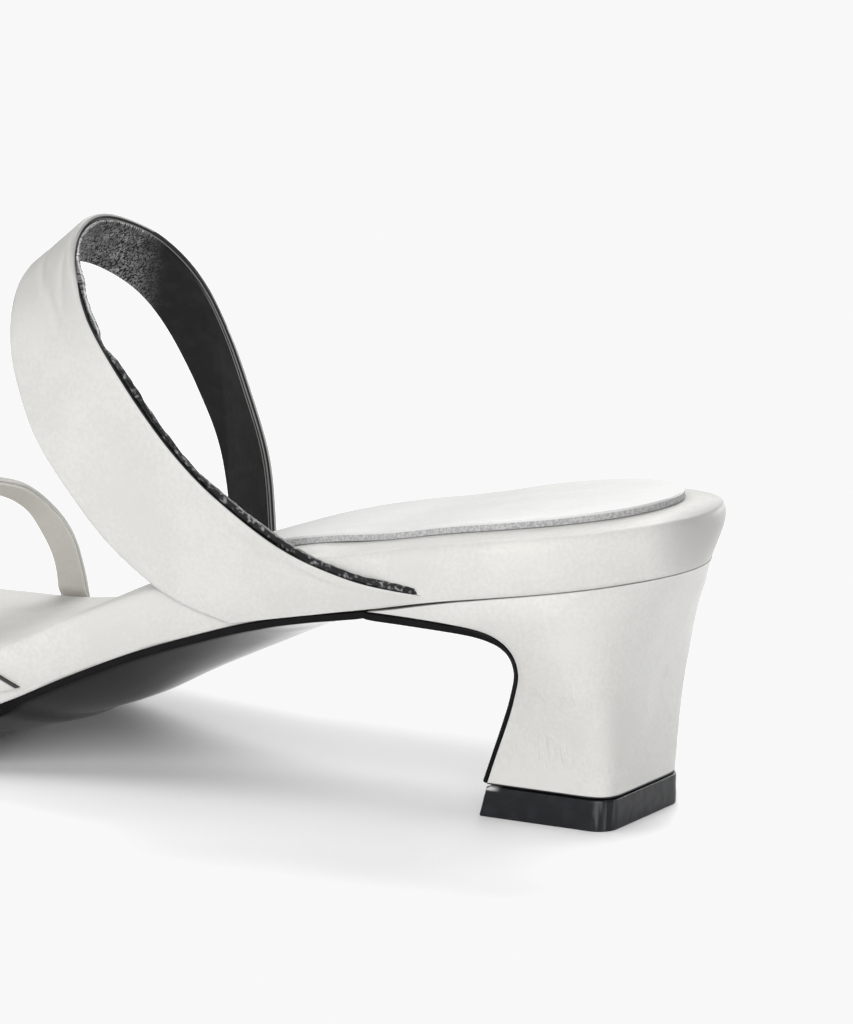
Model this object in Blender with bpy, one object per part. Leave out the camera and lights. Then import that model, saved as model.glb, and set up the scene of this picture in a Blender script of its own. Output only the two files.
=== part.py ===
"""Heeled slide sandal, left foot: heel tip, wrapped heel, outsole, footbed, sock and two straps.

The origin is the centre of the heel tip's ground face. +X runs towards the toe, +Y to the outer
side of the foot, +Z up. Sizes below are in millimetres, and meshes are built in metres.
Every piece starts as a box of cells whose corners are then moved to their place on the last.
"""
import math
from collections import namedtuple

import bmesh
import bpy
from mathutils import Vector

MM = 0.001
GAP = 0.3                # clearance between pieces that touch
HEEL_GAP = 0.4           # the same under the footbed, where both faces curve

# Driving dimensions
BACK = -23.8             # back of the footbed
TOE = 211.0              # front of the footbed
SEAT_X = 8.0             # widest point of the heel seat
TOE_X = 168.0            # where the toe starts to round off
TOE_POWER = 2.5          # 2 is a round toe, more is squarer
RAND = 9.6               # height of the wrapped footbed's side
BACK_TUCK = 1.1          # how much further in the side turns under the back of the seat
CROWN = 1.1              # how much the middle of the seat's top stands over its edges
SOCK = 1.4               # thickness of the padded sock
SOCK_INSET = 7.0         # sock edge to footbed edge at the back
SOCK_X = 54.0            # where the sock starts to round off
SOCK_END = 68.0          # the sock stops under the instep strap
SOLE = 1.2               # outsole thickness at the waist
BREAST_SOLE = 0.6        # and where it is skived thin to go up the heel's breast
TREAD = 0.8              # how much the tread pad adds
TREAD_X = 93.0           # rear edge of the tread pad
TIP = 5.25               # height of the heel tip
TIP_LENGTH = 24.3
TIP_WIDTH = 26.6
TIP_CORNER = 3.6         # radius of its two back corners
TIP_SLOPE = 1.4          # how far its front leans back
STRAP_WALL = 1.9         # outer leather and lining together
TOE_STRAP_WALL = 1.7
PROUD = 0.9              # how far a strap's end stands out of the footbed's side
GROOVE_OUT = 3.0         # how far the clearance for a strap's end runs outwards
GROOVE_DOWN = 4.0        # and downwards

# Where the cells turn a corner
ROUND_END = 0.985        # a rounded end's last row of cells, as a part of its length
HEEL_TURN = 0.72         # cells before this go round the heel's back, the rest along its sides
SOLE_BEND = -0.45        # cells before this cover the heel's breast, the rest the footbed

# The last, a row for each section. feather is the height of the footbed's bottom edge, left and
# right are the half widths, and belly is how much deeper the sole is along its middle.
Last = namedtuple("Last", "x feather left right belly")
LAST = (
    Last(-24, 43.4, 27.0, 27.2, 0.0),
    Last(-12, 42.2, 27.0, 27.2, 0.0),
    Last(2, 40.5, 27.2, 27.2, 0.0),
    Last(14, 38.5, 27.2, 26.4, 0.0),
    Last(27, 35.8, 27.0, 24.5, 0.0),
    Last(38, 33.95, 26.7, 22.8, 2.2),
    Last(48, 31.7, 26.5, 21.8, 3.8),
    Last(60, 28.1, 26.6, 21.9, 5.6),
    Last(72, 23.9, 27.3, 23.4, 7.1),
    Last(84, 18.7, 29.0, 26.0, 7.9),
    Last(96, 12.9, 31.6, 29.2, 6.0),
    Last(108, 8.8, 34.6, 32.8, 4.8),
    Last(122, 6.2, 37.2, 36.6, 3.9),
    Last(136, 5.4, 38.0, 38.4, 3.4),
    Last(152, 5.0, 36.6, 38.2, 3.2),
    Last(170, 5.0, 33.0, 36.6, 2.8),
    Last(190, 5.8, 29.5, 34.5, 2.2),
    Last(212, 7.8, 27.0, 32.5, 1.6),
)

# The footbed's side, from its bottom edge up: how far it stands in, and the part of its height
Rim = namedtuple("Rim", "seat_inset inset rise")
RIM = (
    Rim(1.5, 0.9, 0.0),
    Rim(0.9, 0.3, 0.26),
    Rim(0.25, 0.0, 0.52),
    Rim(0.0, 0.1, 0.74),
    Rim(0.3, 0.45, 0.91),
    Rim(1.0, 1.3, 0.985),
    Rim(2.6, 2.8, 1.0),
)

# The heel block, a row for each level from the tip up. Each level runs from back_x, back_z to
# front_x, front_z on the breast. A level is widest, half, at centre_x, and power squares its back.
Level = namedtuple("Level", "back_x back_z centre_x half power front_x front_z front_half")
HEEL = (
    Level(-12.2, TIP + GAP, 0.0, 13.0, 7.0, 10.8, TIP + GAP, 13.0),
    Level(-12.7, 11.0, 0.0, 13.6, 6.4, 8.7, 10.8, 13.5),
    Level(-13.0, 16.5, 0.0, 14.9, 5.6, 6.2, 16.2, 14.7),
    Level(-13.4, 22.0, 0.0, 16.8, 4.6, 3.7, 21.4, 16.5),
    Level(-14.6, 28.5, -0.5, 19.6, 3.4, 1.5, 26.8, 19.1),
    Level(-16.3, 34.0, -0.5, 22.4, 2.6, 1.7, 31.3, 22.0),
    Level(-18.6, 38.3, 1.0, 24.7, 2.2, 4.9, 34.1, 24.3),
    Level(-20.2, 41.2, 4.0, 26.0, 2.0, 12.3, 35.2, 25.6),
    Level(-21.2, 42.7, 8.0, 26.3, 2.0, 26.2, 35.6, 26.0),
)

# The sock's edge, a row for each section
Sock = namedtuple("Sock", "x left right")
SOCK_EDGE = (
    Sock(-20, 21.0, 21.0),
    Sock(8, 21.0, 21.0),
    Sock(22, 20.4, 19.8),
    Sock(35, 18.8, 16.6),
    Sock(48, 17.6, 13.8),
    Sock(62, 17.4, 13.4),
    Sock(76, 18.6, 15.2),
    Sock(92, 20.5, 18.0),
)

# A strap, a row for each section from its outer end over the foot to its inner end. across is
# where the section stands, 1 at the footbed's outer edge and -1 at its inner edge. The rear and
# front edges of the band are given along and above the shoe.
Fold = namedtuple("Fold", "across rear_x rear_z front_x front_z")
INSTEP = (
    Fold(1.0, 12.0, 39.2, 53.0, 30.6),
    Fold(1.0, 27.0, 40.7, 61.0, 33.2),
    Fold(0.995, 41.3, 44.4, 68.6, 36.8),
    Fold(0.975, 53.7, 50.9, 76.9, 43.2),
    Fold(0.94, 62.5, 57.2, 84.8, 51.8),
    Fold(0.88, 70.9, 65.0, 91.6, 59.4),
    Fold(0.76, 80.5, 74.8, 97.5, 68.3),
    Fold(0.62, 86.8, 81.9, 101.0, 75.0),
    Fold(0.42, 92.1, 87.9, 103.6, 80.4),
    Fold(0.20, 94.7, 91.4, 104.6, 83.7),
    Fold(-0.04, 95.6, 92.5, 104.3, 84.5),
    Fold(-0.28, 94.2, 91.1, 102.4, 83.3),
    Fold(-0.47, 89.6, 87.4, 98.8, 80.2),
    Fold(-0.66, 85.3, 80.5, 95.9, 75.5),
    Fold(-0.82, 82.1, 71.2, 92.8, 68.0),
    Fold(-0.92, 78.6, 60.0, 88.8, 58.0),
    Fold(-0.98, 75.1, 48.0, 85.6, 48.0),
    Fold(-1.0, 74.0, 35.5, 84.0, 35.0),
    Fold(-1.0, 73.7, 23.7, 83.9, 19.4),
)
TOE_STRAP = (
    Fold(1.0, 91.5, 16.0, 127.0, 6.6),
    Fold(1.0, 99.0, 21.0, 132.0, 12.4),
    Fold(0.97, 106.5, 27.0, 135.6, 19.6),
    Fold(0.88, 114.5, 33.0, 138.2, 27.5),
    Fold(0.70, 122.0, 38.0, 139.6, 33.8),
    Fold(0.40, 128.6, 41.4, 140.2, 38.0),
    Fold(0.05, 132.0, 42.6, 139.6, 39.6),
    Fold(-0.35, 132.6, 41.2, 139.0, 38.8),
    Fold(-0.65, 132.0, 38.5, 137.5, 36.5),
    Fold(-0.84, 131.0, 36.0, 136.0, 34.5),
    Fold(-0.94, 128.0, 32.0, 133.5, 31.5),
    Fold(-0.985, 124.5, 27.0, 131.0, 27.0),
    Fold(-1.0, 122.5, 21.5, 128.5, 21.5),
    Fold(-1.0, 121.0, 15.0, 127.5, 15.0),
    Fold(-1.0, 121.0, 7.0, 127.5, 6.5),
)


def smooth(rows, column, at):
    """A column of a table between two of its rows: at is 0 on the first row and 1 on the last."""
    place = min(max(at, 0.0), 1.0) * (len(rows) - 1)
    i = min(int(place), len(rows) - 2)
    t = place - i
    p = [getattr(rows[min(max(i + k, 0), len(rows) - 1)], column) for k in (-1, 0, 1, 2)]
    return 0.5 * (2 * p[1] + (p[2] - p[0]) * t + (2 * p[0] - 5 * p[1] + 4 * p[2] - p[3]) * t ** 2
                  + (3 * p[1] - 3 * p[2] + p[3] - p[0]) * t ** 3)


def along(rows, column, x):
    """A column of a table at a place along the shoe."""
    for i in range(len(rows) - 1):
        if x <= rows[i + 1].x or i == len(rows) - 2:
            t = (x - rows[i].x) / (rows[i + 1].x - rows[i].x)
            return smooth(rows, column, (i + min(max(t, 0.0), 1.0)) / (len(rows) - 1))


def feather(x):
    return along(LAST, "feather", x)


def half_width(x, y):
    """Half width of the last on the side that y is on."""
    return along(LAST, "left" if y > 0 else "right", x)


def fade(x, start, end):
    """0 before start, 1 after end, and a soft step between them."""
    t = min(max((x - start) / (end - start), 0.0), 1.0)
    return t * t * (3 - 2 * t)


def round_end(r, power):
    """Half width of a rounded end, 1 where it starts and 0 at its tip."""
    return (1 - min(r, 1.0) ** power) ** (1 / power)


def ease(t):
    """Runs from 0 to 1 with short steps at both ends."""
    return t - 0.75 * math.sin(2 * math.pi * t) / (2 * math.pi)


def plan(u, v, inset, rows=LAST, end=TOE, end_x=TOE_X, power=TOE_POWER, back=BACK):
    """A point inside an outline: u runs from heel to toe and v from right to left, -1 to 1."""
    heel_length = SEAT_X - back - inset
    toe_length = end - inset - end_x
    x = back + inset + (heel_length + toe_length + end_x - SEAT_X) * ease((u + 1) / 2)
    behind = min((SEAT_X - x) / heel_length, ROUND_END)
    ahead = min((x - end_x) / toe_length, ROUND_END)
    half = along(rows, "left" if v > 0 else "right", x) - inset
    if behind > 0:
        half *= round_end(behind, 2)
        if behind == ROUND_END:
            x = SEAT_X - heel_length * (1 - (1 - ROUND_END) * v * v)
    if ahead > 0:
        half *= round_end(ahead, power)
        if ahead == ROUND_END:
            x = end_x + toe_length * (1 - (1 - ROUND_END) * v * v)
    return x, v * half


def make(name, cells, place, material):
    """A closed piece: a box of cells whose corners, u, v in -1..1 and h in 0..1, are put in place."""
    mesh_data = bmesh.new()
    bmesh.ops.create_grid(mesh_data, x_segments=cells[0], y_segments=cells[1], size=1.0)
    raised = bmesh.ops.extrude_face_region(mesh_data, geom=mesh_data.faces[:])
    for vertex in raised["geom"]:
        if isinstance(vertex, bmesh.types.BMVert):
            vertex.co.z = 1.0
    walls = [edge for edge in mesh_data.edges if edge.verts[0].co.z != edge.verts[1].co.z]
    if cells[2] > 1:
        bmesh.ops.subdivide_edges(mesh_data, edges=walls, cuts=cells[2] - 1)
    for vertex in mesh_data.verts:
        vertex.co = Vector(place(*vertex.co)) * MM
    bmesh.ops.recalc_face_normals(mesh_data, faces=mesh_data.faces[:])
    mesh = bpy.data.meshes.new(name)
    mesh_data.to_mesh(mesh)
    mesh_data.free()
    mesh.shade_smooth()
    mesh.set_sharp_from_angle(angle=math.radians(40))
    mesh.materials.append(material)
    piece = bpy.data.objects.new(name, mesh)
    bpy.context.scene.collection.objects.link(piece)
    return piece


def finish(name, colour, roughness, coat=0.0):
    material = bpy.data.materials.new(name)
    material.use_nodes = True
    shader = material.node_tree.nodes["Principled BSDF"]
    shader.inputs["Base Color"].default_value = (*colour, 1.0)
    shader.inputs["Roughness"].default_value = roughness
    shader.inputs["Coat Weight"].default_value = coat
    return material


# Heel tip: a rubber block, square in front, with two rounded back corners
def tip(u, v, h):
    x = TIP_LENGTH / 2 * u
    y = TIP_WIDTH / 2 * v
    corner_x = -TIP_LENGTH / 2 + TIP_CORNER
    corner_y = TIP_WIDTH / 2 - TIP_CORNER
    if x < corner_x and abs(y) > corner_y:
        off = Vector((x - corner_x, abs(y) - corner_y))
        reach = max(abs(off.x), off.y)
        off = off.normalized() * reach if off.length > 0 else off
        x = corner_x + off.x
        y = math.copysign(corner_y + off.y, y)
    x -= TIP_SLOPE * h * fade(u, 0.4, 1.0)
    return x, y, TIP * h


# Heel: levels from the tip up to the footbed, with the breast in front
def straight_seat(x):
    """Height of the last level, which is straight until it is raised to the footbed."""
    level = HEEL[-1]
    slope = (level.front_z - level.back_z) / (level.front_x - level.back_x)
    return level.back_z + slope * (x - level.back_x)


def heel(u, v, h):
    back_x, back_z, centre_x, half, power, front_x, front_z, front_half = (
        smooth(HEEL, column, h) for column in Level._fields)
    s = (u + 1) / 2
    if s < HEEL_TURN:
        turn = math.radians(80) * (1 - s / HEEL_TURN)
        x = centre_x - (centre_x - back_x) * math.sin(turn) ** (2 / power)
        y = v * half * math.cos(turn) ** (2 / power)
        if u == -1:
            x = back_x + (x - back_x) * v * v
    else:
        t = (s - HEEL_TURN) / (1 - HEEL_TURN)
        x = centre_x + (front_x - centre_x) * t
        y = v * (half + (front_half - half) * t * t)
    t = (x - back_x) / (front_x - back_x)
    flat = back_z + (front_z - back_z) * t
    raised = fade(h, 0.55, 1.0) * (1 - t ** 4)
    return x, y, flat + raised * (feather(x) - HEEL_GAP - straight_seat(x))


def footbed_bottom(x, y):
    half = half_width(x, y)
    return feather(x) - along(LAST, "belly", x) * (1 - min(abs(y) / half, 1.0) ** 2)


def seat(x):
    """1 at the heel seat, where the wrap turns further in, and 0 from the waist on."""
    return 1 - fade(x, -14.0, 44.0)


def crown(x, y):
    """How much the top of the seat stands over its edges at a place."""
    behind = max(SEAT_X - x, 0.0) / (SEAT_X - BACK - RIM[-1].seat_inset)
    out = math.hypot(behind, y / (half_width(x, y) - RIM[-1].seat_inset))
    return CROWN * max(1 - out ** 8, 0.0) * (1 - fade(x, 60.0, 95.0))


# Footbed: the wrapped board, with a soft top edge and a belly under the waist
def footbed(u, v, h):
    turn = seat(BACK + (TOE - BACK) * ease((u + 1) / 2))
    inset = turn * smooth(RIM, "seat_inset", h) + (1 - turn) * smooth(RIM, "inset", h)
    rise = smooth(RIM, "rise", h)
    x, y = plan(u, v, inset)
    x += BACK_TUCK * max(1 - rise, 0.0) ** 1.5 * fade(-x, 0.0, 20.0)
    bottom = footbed_bottom(x, y)
    if h == 0:
        return x, y, bottom
    raised = crown(x, y) if h == 1 else 0.0
    return x, y, bottom + (feather(x) + RAND - bottom) * rise + raised


# Sock: a thin pad on the footbed, from the heel to under the instep strap
def sock(u, v, h):
    x, y = plan(u, v, 0.25 * h, SOCK_EDGE, SOCK_END, SOCK_X, 2, BACK + SOCK_INSET)
    return x, y, feather(x) + RAND + crown(x, y) + GAP + SOCK * h


# Outsole: up the heel's breast, round under the waist and on to the toe
def sole_path(u, v):
    """The face of the heel or footbed that the sole covers."""
    if u < SOLE_BEND:
        level = (u + 1) / (SOLE_BEND + 1)
        x, z, half = (smooth(HEEL, c, level) for c in ("front_x", "front_z", "front_half"))
        return Vector((x, v * half, z))
    t = (u - SOLE_BEND) / (1 - SOLE_BEND)
    start = HEEL[-1].front_x
    inset = 0.6
    toe_length = TOE - inset - TOE_X
    x = start + (TOE - inset - start) * (t + 0.6 * t * (1 - t))
    widening = fade(t, 0.0, 0.12)
    half = HEEL[-1].front_half * (1 - widening) + (half_width(x, v) - inset) * widening
    ahead = min((x - TOE_X) / toe_length, ROUND_END)
    if ahead > 0:
        half *= round_end(ahead, TOE_POWER)
        if ahead == ROUND_END:
            x = TOE_X + toe_length * (1 - (1 - ROUND_END) * v * v)
    y = v * half
    return Vector((x, y, footbed_bottom(x, y)))


def outsole(u, v, h):
    step = 0.004
    here = sole_path(u, v)
    before = sole_path(max(u - step, -1.0), v)
    after = sole_path(min(u + step, 1.0), v)
    run = after - before
    out = Vector((run.z, 0.0, -run.x)).normalized()
    if u > SOLE_BEND:
        out = out.lerp(Vector((0.0, 0.0, -1.0)), fade(u, SOLE_BEND, SOLE_BEND + 0.3)).normalized()
    thick = BREAST_SOLE + (SOLE - BREAST_SOLE) * fade(u, SOLE_BEND - 0.35,
                                                          SOLE_BEND - 0.02)
    thick += TREAD * fade(here.x, TREAD_X - 1.5, TREAD_X + 1.5)
    point = here + out * (GAP + thick * (1 - h))
    if u < SOLE_BEND:
        point.z = max(point.z, TIP + GAP)
    return point.x, point.y, max(point.z, 0.0)


def band(rows, wall, cells, margin=0.0):
    """A strap's wall: u runs from its outer end to its inner end and v from rear to front edge.

    With a margin it is the clearance round the strap instead, deeper by a row at each end.
    """
    def outer(s, v):
        across, rear_x, rear_z, front_x, front_z = (smooth(rows, c, s) for c in Fold._fields)
        t = (v + 1) / 2
        x = rear_x + (front_x - rear_x) * t
        z = rear_z + (front_z - rear_z) * t
        side = half_width(min(x, rows[-1].front_x), across) + PROUD
        return Vector((x, across * side, z))

    def place(u, v, h):
        s = (u + 1) / 2
        if margin:
            s = min(max((s * (cells + 2) - 1) / cells, 0.0), 1.0)
        step = 0.002
        run = outer(min(s + step, 1.0), v) - outer(max(s - step, 0.0), v)
        width = outer(s, 1.0) - outer(s, -1.0)
        inward = width.cross(run).normalized()
        point = outer(s, v) + inward * (wall * (1 - h))
        if margin:
            point += inward * (margin if h == 0 else -GROOVE_OUT)
            point += width.normalized() * margin * v
            if abs(u) == 1:
                point.z -= GROOVE_DOWN
        return point

    return place


def cut(piece, name, place, cells):
    """Cut a clearance for a strap's end out of a piece."""
    cutter = make(name, cells, place, piece.data.materials[0])
    cutter.hide_render = True
    cutter.display_type = "WIRE"
    groove = piece.modifiers.new(name, "BOOLEAN")
    groove.object = cutter


for old in list(bpy.data.objects):
    bpy.data.objects.remove(old)

white_leather = finish("white_leather", (0.80, 0.79, 0.76), 0.42)
sock_leather = finish("sock_leather", (0.84, 0.84, 0.83), 0.5)
rubber = finish("tip_rubber", (0.030, 0.031, 0.034), 0.5)
sole_gloss = finish("sole_gloss", (0.022, 0.023, 0.025), 0.22, 0.4)
strap_leather = finish("strap_leather", (0.78, 0.77, 0.74), 0.4)

make("top_lift", (10, 10, 1), tip, rubber)
make("heel", (14, 8, 12), heel, white_leather)
footbed_piece = make("footbed", (40, 8, 6), footbed, white_leather)
make("sock_pad", (30, 6, 1), sock, sock_leather)
make("outsole", (56, 8, 1), outsole, sole_gloss)
for strap, rows, wall, cells in (("instep_strap", INSTEP, STRAP_WALL, 46),
                                 ("toe_strap", TOE_STRAP, TOE_STRAP_WALL, 36)):
    make(strap, (cells, 4, 1), band(rows, wall, cells), strap_leather)
    cut(footbed_piece, strap + "_groove", band(rows, wall, cells, GAP), (cells + 2, 4, 1))
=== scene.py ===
"""Heeled slide sandal, left foot: the finished look of each piece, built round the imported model.

Meshes are worked out in millimetres and built in metres. +X runs to the toe, +Y to the outer side
of the foot, +Z up, and the origin is the centre of the heel tip's ground face.
"""
import functools
import math
from collections import namedtuple

import bmesh
import bpy
from mathutils import Matrix, Vector, noise


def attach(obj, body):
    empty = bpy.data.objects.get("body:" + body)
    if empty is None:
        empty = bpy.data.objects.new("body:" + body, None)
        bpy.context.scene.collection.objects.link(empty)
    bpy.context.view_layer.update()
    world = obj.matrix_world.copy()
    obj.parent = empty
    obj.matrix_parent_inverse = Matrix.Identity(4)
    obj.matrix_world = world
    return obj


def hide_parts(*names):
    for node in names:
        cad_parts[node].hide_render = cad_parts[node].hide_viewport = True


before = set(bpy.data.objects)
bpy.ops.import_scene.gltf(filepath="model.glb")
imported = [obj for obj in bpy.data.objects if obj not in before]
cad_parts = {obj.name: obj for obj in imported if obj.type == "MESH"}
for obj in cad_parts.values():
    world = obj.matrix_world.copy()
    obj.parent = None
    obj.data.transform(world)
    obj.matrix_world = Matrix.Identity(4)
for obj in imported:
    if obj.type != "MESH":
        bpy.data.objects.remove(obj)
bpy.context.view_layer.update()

# Camera: a long lens a little above the sandal, looking past the heel along its outer side. The
# toe runs out of the left of the frame.
CAMERA_TURN = math.radians(30.164)
CAMERA_TILT = math.radians(11.824)
CAMERA_AWAY = 1.166667   # in metres from the heel tip, as are the next two
CAMERA_LEFT = 0.025828
CAMERA_UP = 0.049327
FOCAL_LENGTH = 246.09
away = Vector((-math.sin(CAMERA_TURN) * math.cos(CAMERA_TILT),
               math.cos(CAMERA_TURN) * math.cos(CAMERA_TILT), math.sin(CAMERA_TILT)))
right = Vector((-math.cos(CAMERA_TURN), -math.sin(CAMERA_TURN), 0.0))
above = away.cross(right)
lens = bpy.data.cameras.new("camera")
lens.sensor_fit = "VERTICAL"
lens.sensor_height = 36.0
lens.lens = FOCAL_LENGTH
camera = bpy.data.objects.new("camera", lens)
camera.matrix_world = Matrix((right, above, away)).transposed().to_4x4()
camera.location = CAMERA_AWAY * away - CAMERA_LEFT * right + CAMERA_UP * above
bpy.context.scene.collection.objects.link(camera)
bpy.context.scene.camera = camera

# Footbed: a shank board shaped on the last, wrapped in white leather that is pulled over its top
# edge, glued under it, and lies a little uneven where it turns in.
MM = 0.001
BACK = -23.8             # back of the footbed
TOE = 211.0              # front of the footbed
SEAT_X = 8.0             # widest point of the heel seat
TOE_X = 168.0            # where the toe starts to round off
TOE_POWER = 2.5          # 2 is a round toe, more is squarer
RAND = 9.6               # height of the wrapped side
ROUND_END = 0.997        # a rounded end's last row of cells, as a part of its length
Last = namedtuple("Last", "x feather left right belly")
LAST = (
    Last(-24, 43.4, 27.0, 27.2, 0.0),
    Last(-12, 42.2, 27.0, 27.2, 0.0),
    Last(2, 40.5, 27.2, 27.2, 0.0),
    Last(14, 38.5, 27.2, 26.4, 0.0),
    Last(27, 35.8, 27.0, 24.5, 0.0),
    Last(38, 33.95, 26.7, 22.8, 2.2),
    Last(48, 31.7, 26.5, 21.8, 3.8),
    Last(60, 28.1, 26.6, 21.9, 5.6),
    Last(72, 23.9, 27.3, 23.4, 7.1),
    Last(84, 18.7, 29.0, 26.0, 7.9),
    Last(96, 12.9, 31.6, 29.2, 6.0),
    Last(108, 8.8, 34.6, 32.8, 4.8),
    Last(122, 6.2, 37.2, 36.6, 3.9),
    Last(136, 5.4, 38.0, 38.4, 3.4),
    Last(152, 5.0, 36.6, 38.2, 3.2),
    Last(170, 5.0, 33.0, 36.6, 2.8),
    Last(190, 5.8, 29.5, 34.5, 2.2),
    Last(212, 7.8, 27.0, 32.5, 1.6),
)
# The wrapped side from its bottom edge up: how far it stands in, and the part of its height
Rim = namedtuple("Rim", "seat_inset inset rise")
RIM = (
    Rim(1.5, 0.9, 0.0),
    Rim(0.9, 0.3, 0.26),
    Rim(0.25, 0.0, 0.52),
    Rim(0.0, 0.1, 0.74),
    Rim(0.3, 0.45, 0.91),
    Rim(1.0, 1.3, 0.985),
    Rim(2.6, 2.8, 1.0),
)
BACK_TUCK = 1.1          # how much further in it turns under the back of the seat
CROWN = 1.1              # how much the middle of the seat's top stands over its edges
PULL = ((36.0, 44.2), (23.0, 41.6))      # where the wrap is pulled tight by the strap, in x and z
SHARP = math.radians(50)


def smooth(rows, column, at):
    """A column of a table between two of its rows: at is 0 on the first row and 1 on the last."""
    place = min(max(at, 0.0), 1.0) * (len(rows) - 1)
    i = min(int(place), len(rows) - 2)
    t = place - i
    p = [getattr(rows[min(max(i + k, 0), len(rows) - 1)], column) for k in (-1, 0, 1, 2)]
    return 0.5 * (2 * p[1] + (p[2] - p[0]) * t + (2 * p[0] - 5 * p[1] + 4 * p[2] - p[3]) * t ** 2
                  + (3 * p[1] - 3 * p[2] + p[3] - p[0]) * t ** 3)


def along(rows, column, x):
    """A column of a table at a place along the shoe."""
    for i in range(len(rows) - 1):
        if x <= rows[i + 1].x or i == len(rows) - 2:
            t = (x - rows[i].x) / (rows[i + 1].x - rows[i].x)
            return smooth(rows, column, (i + min(max(t, 0.0), 1.0)) / (len(rows) - 1))


@functools.lru_cache(maxsize=None)
def feather(x):
    """Height of the footbed's bottom edge."""
    return along(LAST, "feather", x)


@functools.lru_cache(maxsize=None)
def side_width(x, outer):
    return along(LAST, "left" if outer else "right", x)


def half_width(x, y):
    """Half width of the last on the side that y is on."""
    return side_width(x, y > 0)


def fade(x, start, end):
    """0 before start, 1 after end, and a soft step between them."""
    t = min(max((x - start) / (end - start), 0.0), 1.0)
    return t * t * (3 - 2 * t)


def mix(a, b, t):
    return a + (b - a) * t


def seat(x):
    """1 at the heel seat, where the wrap turns further in, and 0 from the waist on."""
    return 1 - fade(x, -14.0, 44.0)


def round_end(r, power):
    """Half width of a rounded end, 1 where it starts and 0 at its tip."""
    return (1 - min(r, 1.0) ** power) ** (1 / power)


def ease(t):
    """Runs from 0 to 1 with short steps at both ends."""
    return t - 0.75 * math.sin(2 * math.pi * t) / (2 * math.pi)


def plan(u, v, inset, rows=LAST, end=TOE, end_x=TOE_X, power=TOE_POWER, back=BACK):
    """A point inside an outline: u runs from heel to toe and v from right to left, -1 to 1."""
    heel_length = SEAT_X - back - inset
    toe_length = end - inset - end_x
    x = back + inset + (heel_length + toe_length + end_x - SEAT_X) * ease((u + 1) / 2)
    behind = min((SEAT_X - x) / heel_length, ROUND_END)
    ahead = min((x - end_x) / toe_length, ROUND_END)
    half = along(rows, "left" if v > 0 else "right", x) - inset
    if behind > 0:
        half *= round_end(behind, 2)
        if behind == ROUND_END:
            x = SEAT_X - heel_length * (1 - (1 - ROUND_END) * v * v)
    if ahead > 0:
        half *= round_end(ahead, power)
        if ahead == ROUND_END:
            x = end_x + toe_length * (1 - (1 - ROUND_END) * v * v)
    return x, v * half


def footbed_bottom(x, y):
    half = half_width(x, y)
    return feather(x) - along(LAST, "belly", x) * (1 - min(abs(y) / half, 1.0) ** 2)


def ripple(point, size, height):
    """A soft unevenness over a surface: size is how far apart its humps are."""
    return height * noise.noise(point / size)


def trough(x, y, crease, width, depth):
    """How far a soft crease, from one end to the other, lowers a place."""
    (x0, y0), (x1, y1) = crease
    run = Vector((x1 - x0, y1 - y0))
    t = min(max(((x - x0) * run.x + (y - y0) * run.y) / run.length_squared, 0.0), 1.0)
    off = math.hypot(x - x0 - run.x * t, y - y0 - run.y * t)
    return -depth * math.sin(math.pi * (0.12 + 0.76 * t)) * math.exp(-(off / width) ** 2)


def closer(w):
    """Runs from -1 to 1 with its steps close together at both ends."""
    return math.sin(math.pi / 2 * w)


def make(name, node, cells, place, material, relief=None, edge=0.0):
    """A closed piece: a box of cells whose corners, u, v in -1..1 and h in 0..1, are put in place.

    edge rounds its sharp edges, and relief then lifts the surface along its normal. Materials can
    read u, v and h as run, side and rise.
    """
    piece_mesh = bmesh.new()
    bmesh.ops.create_grid(piece_mesh, x_segments=cells[0], y_segments=cells[1], size=1.0)
    raised = bmesh.ops.extrude_face_region(piece_mesh, geom=piece_mesh.faces[:])
    for vertex in raised["geom"]:
        if isinstance(vertex, bmesh.types.BMVert):
            vertex.co.z = 1.0
    walls = [e for e in piece_mesh.edges if e.verts[0].co.z != e.verts[1].co.z]
    if cells[2] > 1:
        bmesh.ops.subdivide_edges(piece_mesh, edges=walls, cuts=cells[2] - 1)
    words = ("run", "side", "rise")
    for word in words:
        piece_mesh.verts.layers.float.new(word)
    marks = [piece_mesh.verts.layers.float[word] for word in words]
    for vertex in piece_mesh.verts:
        for mark, value in zip(marks, vertex.co):
            vertex[mark] = value
        vertex.co = Vector(place(*vertex.co)) * MM
    bmesh.ops.recalc_face_normals(piece_mesh, faces=piece_mesh.faces[:])
    if edge:
        sharp = [e for e in piece_mesh.edges if e.calc_face_angle(0.0) > SHARP]
        bmesh.ops.bevel(piece_mesh, geom=sharp, offset=edge * MM, segments=3, profile=0.5,
                        affect="EDGES", material=-1, clamp_overlap=False)
    bmesh.ops.remove_doubles(piece_mesh, verts=piece_mesh.verts, dist=0.01 * MM)
    if relief:
        piece_mesh.normal_update()
        lifts = [relief(vertex.co / MM, *(vertex[mark] for mark in marks))
                 for vertex in piece_mesh.verts]
        shifts = [vertex.normal * lift * MM for vertex, lift in zip(piece_mesh.verts, lifts)]
        for vertex, shift in zip(piece_mesh.verts, shifts):
            vertex.co += shift
    mesh = bpy.data.meshes.new(name)
    piece_mesh.to_mesh(mesh)
    piece_mesh.free()
    mesh.shade_smooth()
    mesh.set_sharp_from_angle(angle=SHARP)
    mesh.materials.append(material)
    piece = bpy.data.objects.new(name, mesh)
    bpy.context.scene.collection.objects.link(piece)
    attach(piece, "root")
    if node:
        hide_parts(node)
    return piece


def finish(name, roughness, **more):
    """A new material with a Principled shader."""
    material = bpy.data.materials.new(name)
    material.use_nodes = True
    shader = material.node_tree.nodes["Principled BSDF"]
    shader.inputs["Roughness"].default_value = roughness
    for socket, value in more.items():
        shader.inputs[socket.replace("_", " ")].default_value = value
    return material, shader


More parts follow.
